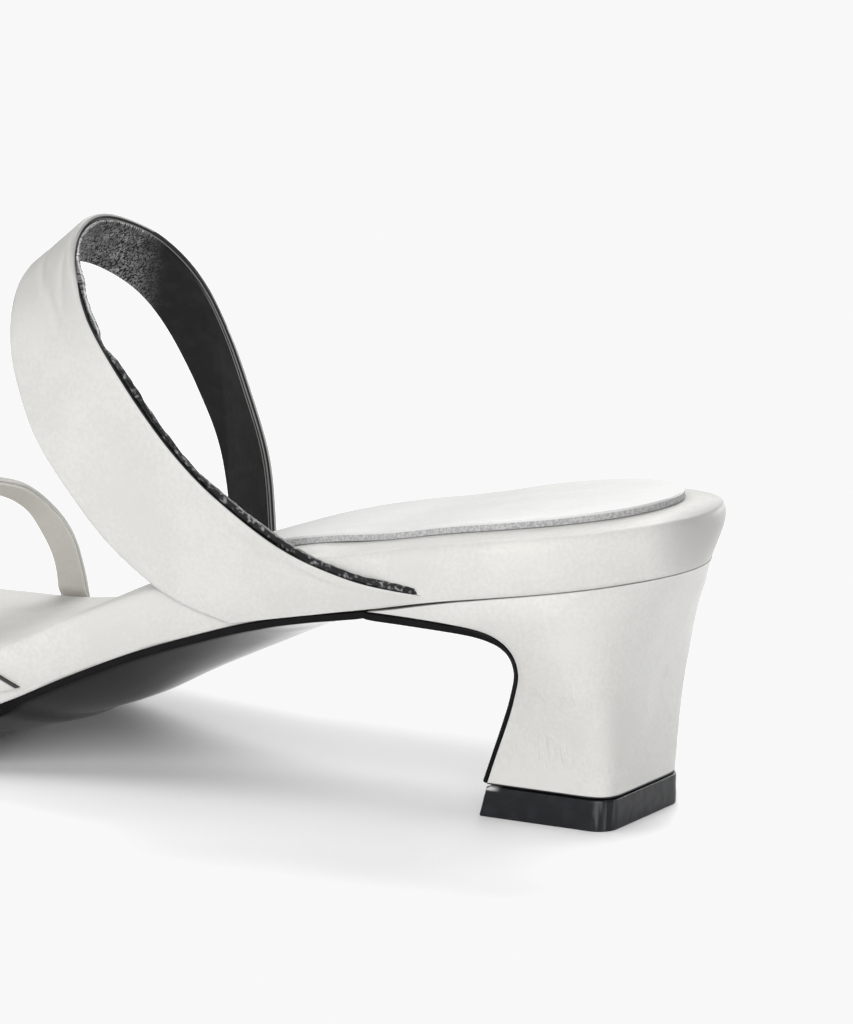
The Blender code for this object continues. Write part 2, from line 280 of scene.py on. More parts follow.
def add(material, kind, inputs=None, **settings):
    """A new shader node. inputs are values, or the outputs of other nodes."""
    node = material.node_tree.nodes.new(kind)
    for setting, value in settings.items():
        setattr(node, setting, value)
    for socket, value in (inputs or {}).items():
        if isinstance(value, bpy.types.NodeSocket):
            material.node_tree.links.new(value, node.inputs[socket])
        else:
            node.inputs[socket].default_value = value
    return node


def join(material, output, shader, socket):
    material.node_tree.links.new(output, shader.inputs[socket])


def colour_of(shader):
    """What its colour is joined to so far."""
    return shader.inputs["Base Color"].links[0].from_socket


def place_of(material):
    return add(material, "ShaderNodeTexCoord").outputs["Object"]


def axis_of(material, axis):
    return add(material, "ShaderNodeSeparateXYZ",
               {"Vector": place_of(material)}).outputs[axis]


def mark_of(material, word):
    """How far along, across or up a piece a place is."""
    return add(material, "ShaderNodeAttribute", attribute_name=word).outputs["Fac"]


def speckle(material, at, scale, detail=3.0):
    return add(material, "ShaderNodeTexNoise",
               {"Vector": at, "Scale": scale, "Detail": detail}).outputs["Fac"]


def between(material, value, low, high, to_low=0.0, to_high=1.0):
    """A value brought from one range to another, softly, and kept inside it."""
    return add(material, "ShaderNodeMapRange",
               {"Value": value, "From Min": low, "From Max": high, "To Min": to_low,
                "To Max": to_high}, interpolation_type="SMOOTHSTEP").outputs["Result"]


def maths(material, operation, a, b):
    return add(material, "ShaderNodeMath", {0: a, 1: b}, operation=operation).outputs["Value"]


def blend(material, factor, a, b):
    """A colour between two others."""
    node = add(material, "ShaderNodeMix", data_type="RGBA")
    for socket, value in zip((node.inputs[0], node.inputs[6], node.inputs[7]), (factor, a, b)):
        if isinstance(value, bpy.types.NodeSocket):
            material.node_tree.links.new(value, socket)
        elif isinstance(value, tuple):
            socket.default_value = (*value, 1.0)
        else:
            socket.default_value = value
    return node.outputs[2]


def bump(material, shader, *layers):
    """Stacks height layers, each a value and its height in millimetres, under a shader."""
    normal = None
    for height, depth in layers:
        inputs = {"Height": height, "Distance": depth * MM, "Strength": 1.0}
        if normal:
            inputs["Normal"] = normal
        normal = add(material, "ShaderNodeBump", inputs).outputs["Normal"]
    join(material, normal, shader, "Normal")


def white_leather(name, light=(0.560, 0.555, 0.536), dark=(0.517, 0.512, 0.494), roughness=0.42):
    """Smooth finished calf: faint pores, soft mottling and a satin shine."""
    material, shader = finish(name, roughness, Specular_IOR_Level=0.45)
    at = place_of(material)
    grain = speckle(material, at, 1500.0, 2.0)
    mottle = maths(material, "ADD", speckle(material, at, 60.0, 4.0),
                   between(material, grain, 0.3, 0.7, -0.10, 0.10))
    join(material, blend(material, between(material, mottle, 0.32, 0.68), dark, light),
         shader, "Base Color")
    join(material, between(material, speckle(material, at, 160.0), 0.3, 0.7,
                           roughness - 0.05, roughness + 0.06), shader, "Roughness")
    bump(material, shader, (grain, 0.06), (speckle(material, at, 260.0, 3.0), 0.10))
    return material, shader


def crown(x, y):
    """How much the footbed's top is domed, which fades out at the waist."""
    behind = max(SEAT_X - x, 0.0) / (SEAT_X - BACK - RIM[-1].seat_inset)
    out = math.hypot(behind, y / (half_width(x, y) - RIM[-1].seat_inset))
    return CROWN * max(1 - out ** 8, 0.0) * (1 - fade(x, 60.0, 95.0))


def footbed(u, v, h):
    turn = seat(BACK + (TOE - BACK) * ease((u + 1) / 2))
    inset = mix(smooth(RIM, "inset", h), smooth(RIM, "seat_inset", h), turn)
    rise = smooth(RIM, "rise", h)
    x, y = plan(u, closer(v), inset)
    x += BACK_TUCK * max(1 - rise, 0.0) ** 1.5 * fade(-x, 0.0, 20.0)
    bottom = footbed_bottom(x, y)
    if h == 0:
        return x, y, bottom
    raised = crown(x, y) if h == 1 else 0.0
    return x, y, bottom + (feather(x) + RAND - bottom) * rise + raised


def footbed_relief(at, u, v, h):
    if h == 0:
        return 0.0
    pulled = trough(at.x, at.z, PULL, 1.5, 0.35) if at.y > 0 else 0.0
    return ripple(at, 9.0, 0.06) + ripple(at, 3.1, 0.02) + pulled


wrap_leather, wrap_shader = white_leather("wrap_leather", (0.590, 0.585, 0.565),
                                          (0.545, 0.540, 0.521), 0.5)
wrap_shader.inputs["Specular IOR Level"].default_value = 0.15
# Painted shade: the wrap is a little darker round the back of the seat
back = between(wrap_leather, axis_of(wrap_leather, "X"), -0.0185, -0.0238)
join(wrap_leather, blend(wrap_leather, back, colour_of(wrap_shader), (0.40, 0.395, 0.385)),
     wrap_shader, "Base Color")
make("footbed_wrap", "footbed", (220, 44, 22), footbed, wrap_leather, footbed_relief)

# Sock: a thin padded insole of smooth white leather on grey foam felt. It is cut square, so its
# edge shows the felt, and it is glued down on the footbed.
SOCK = 1.4
SOCK_INSET = 7.0         # from the back of the footbed
SOCK_X = 54.0            # where its front end starts to round off
SOCK_END = 68.0
SOCK_GLUE = 0.1
Sock = namedtuple("Sock", "x left right")
SOCK_EDGE = (
    Sock(-20, 21.0, 21.0),
    Sock(8, 21.0, 21.0),
    Sock(22, 20.4, 19.8),
    Sock(35, 18.8, 16.6),
    Sock(48, 17.6, 13.8),
    Sock(62, 17.4, 13.4),
    Sock(76, 18.6, 15.2),
    Sock(92, 20.5, 18.0),
)


def sock(u, v, h):
    x, y = plan(u, v, 0.25 * h, SOCK_EDGE, SOCK_END, SOCK_X, 2, BACK + SOCK_INSET)
    return x, y, feather(x) + RAND + crown(x, y) + SOCK_GLUE + SOCK * h


def sock_relief(at, u, v, h):
    if h < 1:
        return 0.0 if h == 0 else ripple(at, 0.5, 0.03)
    inner = (1 - u ** 6) * (1 - v ** 6)
    return 0.25 * inner + ripple(at, 12.0, 0.08)


sock_top, sock_shader = white_leather("sock_leather", (0.615, 0.615, 0.605),
                                      (0.59, 0.59, 0.58), 0.5)
at = place_of(sock_top)
pebble = add(sock_top, "ShaderNodeTexVoronoi", {"Vector": at, "Scale": 1300.0},
             feature="SMOOTH_F1").outputs["Distance"]
bump(sock_top, sock_shader, (pebble, 0.05), (speckle(sock_top, at, 3000.0, 2.0), 0.02))
felt, felt_shader = finish("sock_felt", 0.95)
at = place_of(felt)
join(felt, blend(felt, between(felt, speckle(felt, at, 2500.0, 2.0), 0.35, 0.65),
                 (0.30, 0.30, 0.305), (0.46, 0.46, 0.46)), felt_shader, "Base Color")
bump(felt, felt_shader, (speckle(felt, at, 3500.0, 2.0), 0.06))
sock_pad = make("padded_sock", "sock_pad", (150, 44, 4), sock, sock_top, sock_relief, 0.12)
sock_pad.data.materials.append(felt)
rise = sock_pad.data.attributes["rise"].data
for face in sock_pad.data.polygons:
    if 0.01 < max(rise[i].value for i in face.vertices) < 0.76:
        face.material_index = 1

# Instep strap: a wide band of firm white leather over a black lining. Its edges are cut, and the
# rear one is inked black on the outer side of the foot, where the lining reaches past it.
STRAP_WALL = 1.9
PROUD = 0.9              # how far a strap's end stands out of the footbed's side
TUCK = 0.9               # how far it turns in with the wrap's bottom edge
SEAT_TUCK = 2.4          # the same at the heel seat
FLUSH = 0.08             # clearance to the footbed under a strap's end
INK = (0.012, 0.012, 0.0125)
Fold = namedtuple("Fold", "across rear_x rear_z front_x front_z")
INSTEP = (
    Fold(1.0, 12.0, 39.2, 53.0, 30.6),
    Fold(1.0, 27.0, 40.7, 61.0, 33.2),
    Fold(0.995, 41.3, 44.4, 68.6, 36.8),
    Fold(0.975, 53.7, 50.9, 76.9, 43.2),
    Fold(0.94, 62.5, 57.2, 84.8, 51.8),
    Fold(0.88, 70.9, 65.0, 91.6, 59.4),
    Fold(0.76, 80.5, 74.8, 97.5, 68.3),
    Fold(0.62, 86.8, 81.9, 101.0, 75.0),
    Fold(0.42, 92.1, 87.9, 103.6, 80.4),
    Fold(0.20, 94.7, 91.4, 104.6, 83.7),
    Fold(-0.04, 95.6, 92.5, 104.3, 84.5),
    Fold(-0.28, 94.2, 91.1, 102.4, 83.3),
    Fold(-0.47, 89.6, 87.4, 98.8, 80.2),
    Fold(-0.66, 85.3, 80.5, 95.9, 75.5),
    Fold(-0.82, 82.1, 71.2, 92.8, 68.0),
    Fold(-0.92, 78.6, 60.0, 88.8, 58.0),
    Fold(-0.98, 75.1, 48.0, 85.6, 48.0),
    Fold(-1.0, 74.0, 35.5, 84.0, 35.0),
    Fold(-1.0, 73.7, 23.7, 83.9, 19.4),
)


def proud(x):
    """How far a strap stands out of the footbed's side, which fades out towards the heel."""
    return PROUD * fade(x, 8.0, 27.0)


def fold_point(section, s, v, widest):
    """The outside of a strap: s runs from its outer end to its inner end, v from rear to front.

    It stands over the footbed's side, up to widest along the shoe.
    """
    across, rear_x, rear_z, front_x, front_z = section(s)
    t = (v + 1) / 2
    x = mix(rear_x, front_x, t)
    z = mix(rear_z, front_z, t)
    low = min(max((z - feather(x)) / (0.55 * RAND), 0.0), 1.0)
    tuck = mix(TUCK, SEAT_TUCK, seat(x)) * (1 - low) ** 1.3
    return Vector((x, across * (half_width(min(x, widest), across) + proud(x) - tuck), z))


Layer = namedtuple("Layer", "outside inside rolled rear front start skew",
                   defaults=(lambda s: 0.0, 0.0, 0.0, 0.0))


def layer(rows, wall, made):
    """One layer of a strap. outside and inside are the parts of the wall that it lies between.

    rolled is how wide its rounded edges are, and rear and front are how far it reaches past the
    strap's edges, all in mm. start is how far from the strap's outer end it starts, as a part of
    the strap's length, and skew cuts that end at a slant where it reaches past.
    """
    @functools.lru_cache(maxsize=None)
    def section(s):
        return tuple(smooth(rows, column, s) for column in Fold._fields)

    def outer(s, v):
        return fold_point(section, s, v, rows[-1].front_x)

    def place(u, w, h):
        s = mix(made.start, 1.0, (u + 1) / 2)
        v = closer(w)
        edges = outer(s, 1.0) - outer(s, -1.0)
        half = edges.length / 2
        v += (made.front * max(v, 0.0) + made.rear(s) * min(v, 0.0)) / half
        s += made.skew * max(-1 - v, 0.0) * (1 - s) ** 20
        step = 0.002
        here = outer(s, v)
        run = outer(min(s + step, 1.0), v) - outer(max(s - step, 0.0), v)
        inward = edges.cross(run).normalized()
        top = feather(here.x) + RAND
        full = mix(max(proud(here.x) - FLUSH, 0.05), wall, fade(here.z, top - 1.2, top + 1.5))
        free = fade(-1 - v, 0.0, 0.3 / half)     # past the layer above, it swells outwards
        outside = made.outside * (1 - 0.5 * free)
        thick = (made.inside - outside) * full
        edge = 1 - (1 - abs(closer(w))) * half / made.rolled
        lost = 0.0 if edge < 0 else 1 - math.sqrt(1 - edge ** 2)
        depth = mix(outside * full + 0.55 * thick * lost,
                    made.inside * full - 0.15 * thick * lost, 1 - h)
        return here + inward * depth
    return place


Crease = namedtuple("Crease", "s0 v0 s1 v1 width depth")
INSTEP_CREASES = (
    Crease(0.050, -0.66, 0.155, -0.65, 0.8, 0.30),
    Crease(0.046, -0.71, 0.124, -0.80, 0.6, 0.20),
    Crease(0.070, -0.45, 0.150, -0.40, 1.3, 0.18),
    Crease(0.400, -0.14, 0.510, 0.28, 1.1, 0.30),
    Crease(0.380, -0.50, 0.454, -0.76, 0.8, 0.22),
    Crease(0.350, -0.30, 0.430, -0.20, 0.9, 0.20),
)
INSTEP_LENGTH = 250.0
INSTEP_HALF = 11.0


def instep_relief(at, u, w, h):
    if h < 0.5:
        return 0.0
    s, v = (u + 1) / 2 * INSTEP_LENGTH, closer(w) * INSTEP_HALF
    lift = ripple(at, 14.0, 0.12) + ripple(at, 4.0, 0.02)
    for crease in INSTEP_CREASES:
        ends = ((crease.s0 * INSTEP_LENGTH, crease.v0 * INSTEP_HALF),
                (crease.s1 * INSTEP_LENGTH, crease.v1 * INSTEP_HALF))
        lift += trough(s, v, ends, crease.width, crease.depth)
    return lift


def both(material, *masks):
    """Where all of the masks are."""
    return functools.reduce(lambda a, b: maths(material, "MULTIPLY", a, b), masks)


strap_leather, strap_shader = white_leather("strap_leather")
side, run, rise = (mark_of(strap_leather, word) for word in ("side", "run", "rise"))
# The ink covers the inner corner of the rear edge all the way. It spreads to a limit on the face
# up the outer side, and again on a stretch of the inner side.
limit = maths(strap_leather, "ADD", between(strap_leather, run, -0.95, -0.4, -0.92, -0.86),
              between(strap_leather, run, -0.24, -0.14, 0.0, -0.25))
limit = maths(strap_leather, "ADD", limit, between(strap_leather, run, 0.28, 0.34, 0.0, 0.245))
limit = maths(strap_leather, "ADD", limit, between(strap_leather, run, 0.52, 0.60, 0.0, -0.25))
inked = between(strap_leather, maths(strap_leather, "SUBTRACT", side, limit), 0.0, -0.012)
lip = both(strap_leather, between(strap_leather, rise, 0.22, 0.05),
           between(strap_leather, side, -0.70, -0.80))
inked = maths(strap_leather, "MAXIMUM", inked, lip)
# Painted shade: the top of the strap is greyer, and its rounded rear edge greyer still
top = between(strap_leather, axis_of(strap_leather, "Z"), 0.068, 0.088)
colour = blend(strap_leather, top, colour_of(strap_shader), (0.470, 0.465, 0.448))
rolled = both(strap_leather, between(strap_leather, side, -0.70, -0.82),
              between(strap_leather, run, -0.20, 0.0))
colour = blend(strap_leather, rolled, colour, (0.34, 0.336, 0.325))
join(strap_leather, blend(strap_leather, inked, colour, INK), strap_shader, "Base Color")
make("instep_leather", "instep_strap", (300, 44, 4),
     layer(INSTEP, STRAP_WALL, Layer(outside=0.0, inside=0.62, rolled=1.2)),
     strap_leather, instep_relief)

# Instep lining: soft black leather glued under the strap and cut by hand a little past its rear
# edge. At the top of the instep it is gathered in pleats, and its finish has cracked in scales.
TONGUE_REACH = 4.6       # how far it reaches past the strap at the strap's outer end
SIDE_REACH = 0.65        # the same halfway up the outer side
TOP_REACH = -0.35        # the same from the top of the instep on


def lining_reach(s):
    """How far the lining reaches past the strap's rear edge."""
    wavy = 0.15 * math.sin(48 * s) + 0.1 * math.sin(111 * s)
    pinched = 0.7 * math.exp(-((s - 0.335) / 0.010) ** 2)
    near = mix(mix(TONGUE_REACH, 1.3, fade(s, -0.06, 0.2)), SIDE_REACH, fade(s, 0.16, 0.34))
    near += wavy * fade(s, 0.1, 0.2) - pinched
    return mix(near, TOP_REACH, fade(s, 0.40, 0.50))


black_lining, lining_shader = finish("black_lining", 0.42, Specular_IOR_Level=0.25)
run, side, rise = (mark_of(black_lining, word) for word in ("run", "side", "rise"))
at = place_of(black_lining)
# The scales are small cells between cracks, longer across the strap than along it. They cover the
# lining over the top of the instep, where it bends most.
curved = maths(black_lining, "SINE", maths(black_lining, "MULTIPLY", side, math.pi / 2), 0.0)
cloth = add(black_lining, "ShaderNodeCombineXYZ",
            {"X": maths(black_lining, "MULTIPLY", run, 68.0),
             "Y": maths(black_lining, "MULTIPLY", 6.0, curved)}).outputs["Vector"]
loose = add(black_lining, "ShaderNodeTexNoise",
            {"Vector": cloth, "Scale": 0.9, "Detail": 2.0}).outputs["Color"]
pushed = add(black_lining, "ShaderNodeVectorMath", {0: loose, 1: (0.7, 0.7, 0.0), 2: cloth},
             operation="MULTIPLY_ADD").outputs["Vector"]
scales = add(black_lining, "ShaderNodeMapping",
             {"Vector": pushed, "Scale": (3.4, 0.9, 1.0)}).outputs["Vector"]
crack = add(black_lining, "ShaderNodeTexVoronoi", {"Vector": scales, "Scale": 1.0},
            feature="DISTANCE_TO_EDGE").outputs["Distance"]
patchy = between(black_lining, speckle(black_lining, at, 420.0), 0.38, 0.62, 0.55, 1.0)
slant = maths(black_lining, "SUBTRACT", run, maths(black_lining, "MULTIPLY", side, 0.1))
folded = both(black_lining, patchy, between(black_lining, slant, 0.42, 0.22),
              between(black_lining, run, -0.42, -0.34))
scale = both(black_lining, between(black_lining, crack, 0.06, 0.17), folded)
hide = blend(black_lining, between(black_lining, speckle(black_lining, at, 300.0), 0.4, 0.7),
             (0.006, 0.006, 0.0065), (0.011, 0.011, 0.012))
# Painted highlight: the scales are filled in pale grey, for the light they catch
hide = blend(black_lining, scale, hide, (0.42, 0.42, 0.425))
glint = speckle(black_lining, at, 1100.0, 1.0)
# Painted shade and sheen: the pleats are dark and grey stripes over the edge that is turned out at
# the top
lengthways = add(black_lining, "ShaderNodeCombineXYZ",
                 {"X": maths(black_lining, "MULTIPLY", run, 125.0)}).outputs["Vector"]
pleat = speckle(black_lining, lengthways, 1.3, 1.0)
gathered = both(black_lining, between(black_lining, run, -0.36, -0.33),
                between(black_lining, run, 0.34, 0.22))
turned = both(black_lining, gathered, between(black_lining, side, -0.64, -0.70))
hide = blend(black_lining, turned, hide,
             blend(black_lining, between(black_lining, pleat, 0.45, 0.53),
                   (0.006, 0.006, 0.007), (0.16, 0.16, 0.165)))
# Painted highlights: pale grey on the pleats' edge, in specks along the rough cut below them, and
# in a fine line down the inner side
raised = maths(black_lining, "MAXIMUM", between(black_lining, rise, 0.55, 0.7),
               between(black_lining, pleat, 0.47, 0.53))
lit = both(black_lining, between(black_lining, side, -0.90, -0.95), gathered, raised,
           between(black_lining, glint, 0.34, 0.46))
hide = blend(black_lining, lit, hide, (0.62, 0.62, 0.625))
rough_cut_glints = both(black_lining, between(black_lining, side, -0.5, -0.7),
                 between(black_lining, run, -0.28, -0.36),
                 between(black_lining, glint, 0.52, 0.72))
far_highlight_line = both(black_lining, between(black_lining, run, 0.42, 0.54),
                between(black_lining, side, -0.80, -0.86),
                between(black_lining, side, -0.97, -0.92))
painted_highlights = maths(black_lining, "MAXIMUM", rough_cut_glints, far_highlight_line)
join(black_lining, blend(black_lining, painted_highlights, hide, (0.19, 0.19, 0.193)),
     lining_shader, "Base Color")
bump(black_lining, lining_shader, (scale, 0.15), (speckle(black_lining, at, 900.0), 0.06))


def lining_relief(at, u, w, h):
    s = (u + 1) / 2
    v = closer(w)
    shaky = fade(-v, 0.75, 0.95) * (1 - fade(s, 0.52, 0.6))
    lift = shaky * (ripple(at, 1.7, 0.16) + ripple(at, 0.8, 0.08))
    if h > 0.5:
        return 0.5 * lift
    top = fade(s, 0.44, 0.50) * (1 - fade(s, 0.64, 0.70))
    rim = math.exp(-((v + 0.93) / 0.07) ** 2) * top
    pleats = 0.5 + 0.5 * math.sin(s * 1300 + 2 * noise.noise(Vector((s * 120, 3.0, 0.0))))
    return 0.35 * rim * (1 - 1.2 * pleats ** 5) + ripple(at, 6.0, 0.06) + lift


make("instep_lining", None, (420, 44, 2),
     layer(INSTEP, STRAP_WALL, Layer(outside=0.67, inside=1.0, rolled=0.5, rear=lining_reach,
                                     front=-0.3, start=0.020, skew=0.1)),
     black_lining, lining_relief)

# Toe strap: a narrower band of the same leather, lined in pale beige. Its edges are cut plain,
# and its ends are lapped over the footbed's sides and glued.
TOE_STRAP_WALL = 1.7
TOE_STRAP = (
    Fold(1.0, 91.5, 16.0, 127.0, 6.6),
    Fold(1.0, 99.0, 21.0, 132.0, 12.4),
    Fold(0.97, 106.5, 27.0, 135.6, 19.6),
    Fold(0.88, 114.5, 33.0, 138.2, 27.5),
    Fold(0.70, 122.0, 38.0, 139.6, 33.8),
    Fold(0.40, 128.6, 41.4, 140.2, 38.0),
    Fold(0.05, 132.0, 42.6, 139.6, 39.6),
    Fold(-0.35, 132.6, 41.2, 139.0, 38.8),
    Fold(-0.65, 132.0, 38.5, 137.5, 36.5),
    Fold(-0.84, 131.0, 36.0, 136.0, 34.5),
    Fold(-0.94, 128.0, 32.0, 133.5, 31.5),
    Fold(-0.985, 124.5, 27.0, 131.0, 27.0),
    Fold(-1.0, 122.5, 21.5, 128.5, 21.5),
    Fold(-1.0, 121.0, 15.0, 127.5, 15.0),
    Fold(-1.0, 121.0, 7.0, 127.5, 6.5),
)


def toe_relief(at, u, w, h):
    return ripple(at, 11.0, 0.1) if h > 0.5 else ripple(at, 9.0, 0.06)


toe_leather, toe_shader = white_leather("toe_strap_leather")
side, rise = mark_of(toe_leather, "side"), mark_of(toe_leather, "rise")
cut_face = both(toe_leather, between(toe_leather, side, -0.96, -0.98),
                between(toe_leather, rise, 0.85, 0.75))
colour = blend(toe_leather, cut_face, colour_of(toe_shader), (0.44, 0.43, 0.405))
# Painted shade: the rear edge is black near the strap's outer end, for the dark opening where it
# meets the footbed's side
inked = both(toe_leather, between(toe_leather, side, -0.78, -0.84),
             between(toe_leather, mark_of(toe_leather, "run"), -0.84, -0.90))
join(toe_leather, blend(toe_leather, inked, colour, INK), toe_shader, "Base Color")
make("toe_leather", "toe_strap", (260, 36, 4),
     layer(TOE_STRAP, TOE_STRAP_WALL, Layer(outside=0.0, inside=0.58, rolled=0.5)),
     toe_leather, toe_relief)
beige_lining, _ = white_leather("beige_lining", (0.56, 0.545, 0.505), (0.53, 0.515, 0.475), 0.55)
make("toe_lining", None, (260, 36, 2),
     layer(TOE_STRAP, TOE_STRAP_WALL, Layer(outside=0.60, inside=1.0, rolled=0.3,
                                            rear=lambda s: 0.05, front=-0.1)),
     beige_lining, toe_relief)

# Heel: a tall block with a hollow back and breast, covered in the same white leather, which is
# stretched round it and has fine wrinkles low on its sides.
TIP = 5.25               # height of the heel tip, which the heel stands on
GAP = 0.3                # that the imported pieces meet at
SEAT_GAP = 0.1           # what is left of it between the heel and the footbed
HEEL_TURN = 0.72         # cells before this go round the back, the rest along the sides
BACK_ARC = math.radians(87)
Level = namedtuple("Level", "back_x back_z centre_x half power front_x front_z front_half")
HEEL = (
    Level(-12.2, TIP + GAP, 0.0, 13.0, 7.0, 10.8, TIP + GAP, 13.0),
    Level(-12.7, 11.0, 0.0, 13.6, 6.4, 8.7, 10.8, 13.5),
    Level(-13.0, 16.5, 0.0, 14.9, 5.6, 6.2, 16.2, 14.7),
    Level(-13.4, 22.0, 0.0, 16.8, 4.6, 3.7, 21.4, 16.5),
    Level(-14.6, 28.5, -0.5, 19.6, 3.4, 1.5, 26.8, 19.1),
    Level(-16.3, 34.0, -0.5, 22.4, 2.6, 1.7, 31.3, 22.0),
    Level(-18.6, 38.3, 1.0, 24.7, 2.2, 4.9, 34.1, 24.3),
    Level(-20.2, 41.2, 4.0, 26.0, 2.0, 12.3, 35.2, 25.6),
    Level(-21.2, 42.7, 8.0, 26.3, 2.0, 26.2, 35.6, 26.0),
)


def straight_seat(x):
    """Height of the last level, which is straight until it is raised to the footbed."""
    level = HEEL[-1]
    slope = (level.front_z - level.back_z) / (level.front_x - level.back_x)
    return level.back_z + slope * (x - level.back_x)


def heel(u, v, h):
    back_x, back_z, centre_x, half, power, front_x, front_z, front_half = (
        smooth(HEEL, column, h) for column in Level._fields)
    s = (u + 1) / 2
    if s < HEEL_TURN:
        turn = BACK_ARC * (1 - s / HEEL_TURN)
        x = centre_x - (centre_x - back_x) * math.sin(turn) ** (2 / power)
        y = v * half * math.cos(turn) ** (2 / power)
        if u == -1:
            x = back_x + (x - back_x) * v * v
    else:
        t = (s - HEEL_TURN) / (1 - HEEL_TURN)
        x = centre_x + (front_x - centre_x) * t
        y = v * (half + (front_half - half) * t * t)
    t = (x - back_x) / (front_x - back_x)
    flat = back_z + (front_z - back_z) * t
    raised = fade(h, 0.55, 1.0) * (1 - t ** 4)
    return x, y, flat + raised * (feather(x) - SEAT_GAP - straight_seat(x))


def heel_relief(at, u, v, h):
    if h in (0, 1):
        return 0.0
    return ripple(at, 10.0, 0.08) + ripple(at, 3.0, 0.02)


heel_leather, heel_shader = white_leather("heel_leather", (0.585, 0.580, 0.560),
                                          (0.540, 0.535, 0.516))
at = place_of(heel_leather)
slanted = add(heel_leather, "ShaderNodeMapping",
              {"Vector": at, "Rotation": (0.0, math.radians(24), 0.0),
               "Scale": (1300.0, 300.0, 260.0)}).outputs["Vector"]
lines = add(heel_leather, "ShaderNodeTexNoise",
            {"Vector": slanted, "Scale": 1.0, "Detail": 3.0, "Distortion": 0.8}).outputs["Fac"]
# The wrinkles are low on the sides, in patches
height = axis_of(heel_leather, "Z")
zone = both(heel_leather, between(heel_leather, height, 0.007, 0.012),
            between(heel_leather, height, 0.032, 0.022),
            between(heel_leather, speckle(heel_leather, at, 110.0, 1.0), 0.45, 0.62))
# Painted shade: the wrinkles are bumped and also painted a little darker in their creases
crease_shade = both(heel_leather, between(heel_leather, lines, 0.46, 0.36), zone)
colour = blend(heel_leather, crease_shade, colour_of(heel_shader), (0.55, 0.545, 0.525))
run, rise = mark_of(heel_leather, "run"), mark_of(heel_leather, "rise")
# Painted shade: a fine grey line along the cover's top edge, where it meets the footbed, and at
# the tips of its front points, and a dark line along its bottom edge, in the gap above the tip.
corner = both(heel_leather, between(heel_leather, rise, 0.9, 0.95),
              between(heel_leather, run, 0.985, 0.995))
seam_shade = maths(heel_leather, "MAXIMUM", between(heel_leather, rise, 0.993, 0.998), corner)
colour = blend(heel_leather, seam_shade, colour, (0.44, 0.435, 0.42))
gap_shade = between(heel_leather, rise, 0.014, 0.009)
join(heel_leather, blend(heel_leather, gap_shade, colour, (0.008, 0.008, 0.0085)),
     heel_shader, "Base Color")
bump(heel_leather, heel_shader, (both(heel_leather, lines, zone), 0.3),
     (speckle(heel_leather, at, 1500.0, 2.0), 0.04),
     (speckle(heel_leather, at, 260.0), 0.06))
make("heel_cover", "heel", (90, 30, 84), heel, heel_leather, heel_relief, 0.12)

# Outsole: a thin board with a polished black face, skived thin where it goes up the heel's
# breast. It is level with the wrap's bottom edge, and its own edge is inked and polished.
SOLE = 1.2
BREAST_SOLE = 0.6
SOLE_INSET = 0.6
SOLE_GLUE = 0.1          # what is left of the gap above it
TREAD = 0.8              # how much the tread adds under the ball and the toes
TREAD_X = 93.0           # where the tread starts
SOLE_BEND = -0.45        # cells before this cover the heel's breast, the rest the footbed


def sole_path(u, v):
    """The face of the heel or footbed that the sole covers."""
    if u < SOLE_BEND:
        level = (u + 1) / (SOLE_BEND + 1)
        x, z, half = (smooth(HEEL, c, level) for c in ("front_x", "front_z", "front_half"))
        return Vector((x, v * half, z))
    t = (u - SOLE_BEND) / (1 - SOLE_BEND)
    start = HEEL[-1].front_x
    toe_length = TOE - SOLE_INSET - TOE_X
    x = start + (TOE - SOLE_INSET - start) * (t + 0.6 * t * (1 - t))
    half = mix(HEEL[-1].front_half, half_width(x, v) - SOLE_INSET, fade(t, 0.0, 0.12))
    ahead = min((x - TOE_X) / toe_length, ROUND_END)
    if ahead > 0:
        half *= round_end(ahead, TOE_POWER)
        if ahead == ROUND_END:
            x = TOE_X + toe_length * (1 - (1 - ROUND_END) * v * v)
    y = v * half
    return Vector((x, y, footbed_bottom(x, y)))


def sole_face(u, v, gap, thick):
    """A point of the sole, thick below its top face."""
    step = 0.004
    here = sole_path(u, v)
    run = sole_path(min(u + step, 1.0), v) - sole_path(max(u - step, -1.0), v)
    out = Vector((run.z, 0.0, -run.x)).normalized()
    if u > SOLE_BEND:
        out = out.lerp(Vector((0.0, 0.0, -1.0)), fade(u, SOLE_BEND, SOLE_BEND + 0.3)).normalized()
    point = here + out * (gap + thick)
    if u < SOLE_BEND:
        point.z = max(point.z, TIP + GAP)
    return point


def outsole(u, v, h):
    thick = mix(BREAST_SOLE, SOLE, fade(u, SOLE_BEND - 0.35, SOLE_BEND - 0.02))
    thick += TREAD * fade(sole_path(u, v).x, TREAD_X - 1.5, TREAD_X + 1.5)
    point = sole_face(u, v, SOLE_GLUE, (thick + GAP - SOLE_GLUE) * (1 - h))
    return point.x, point.y, max(point.z, 0.0)


def outsole_relief(at, u, v, h):
    return ripple(at, 7.0, 0.03) if at.z > 1 else 0.0


gloss, gloss_shader = finish("sole_gloss", 0.08, Specular_IOR_Level=0.10)
at = place_of(gloss)
polish = blend(gloss, between(gloss, speckle(gloss, at, 200.0), 0.4, 0.7),
               (0.003, 0.003, 0.0035), (0.005, 0.005, 0.0055))
tread = between(gloss, axis_of(gloss, "X"), 0.0920, 0.0935)
join(gloss, blend(gloss, tread, polish, (0.002, 0.002, 0.0025)), gloss_shader, "Base Color")
join(gloss, between(gloss, speckle(gloss, at, 300.0), 0.3, 0.7, 0.05, 0.11),
     gloss_shader, "Roughness")
bump(gloss, gloss_shader, (speckle(gloss, at, 250.0), 0.01))
make("sole_board", "outsole", (300, 40, 4), outsole, gloss, outsole_relief, 0.25)

# Heel tip: a moulded rubber block, pinned under the heel and trimmed with a knife.
TIP_LENGTH = 24.3
TIP_WIDTH = 26.6
TIP_CORNER = 3.6         # radius of its rear corners
TIP_SLOPE = 1.4          # how far its front face leans back


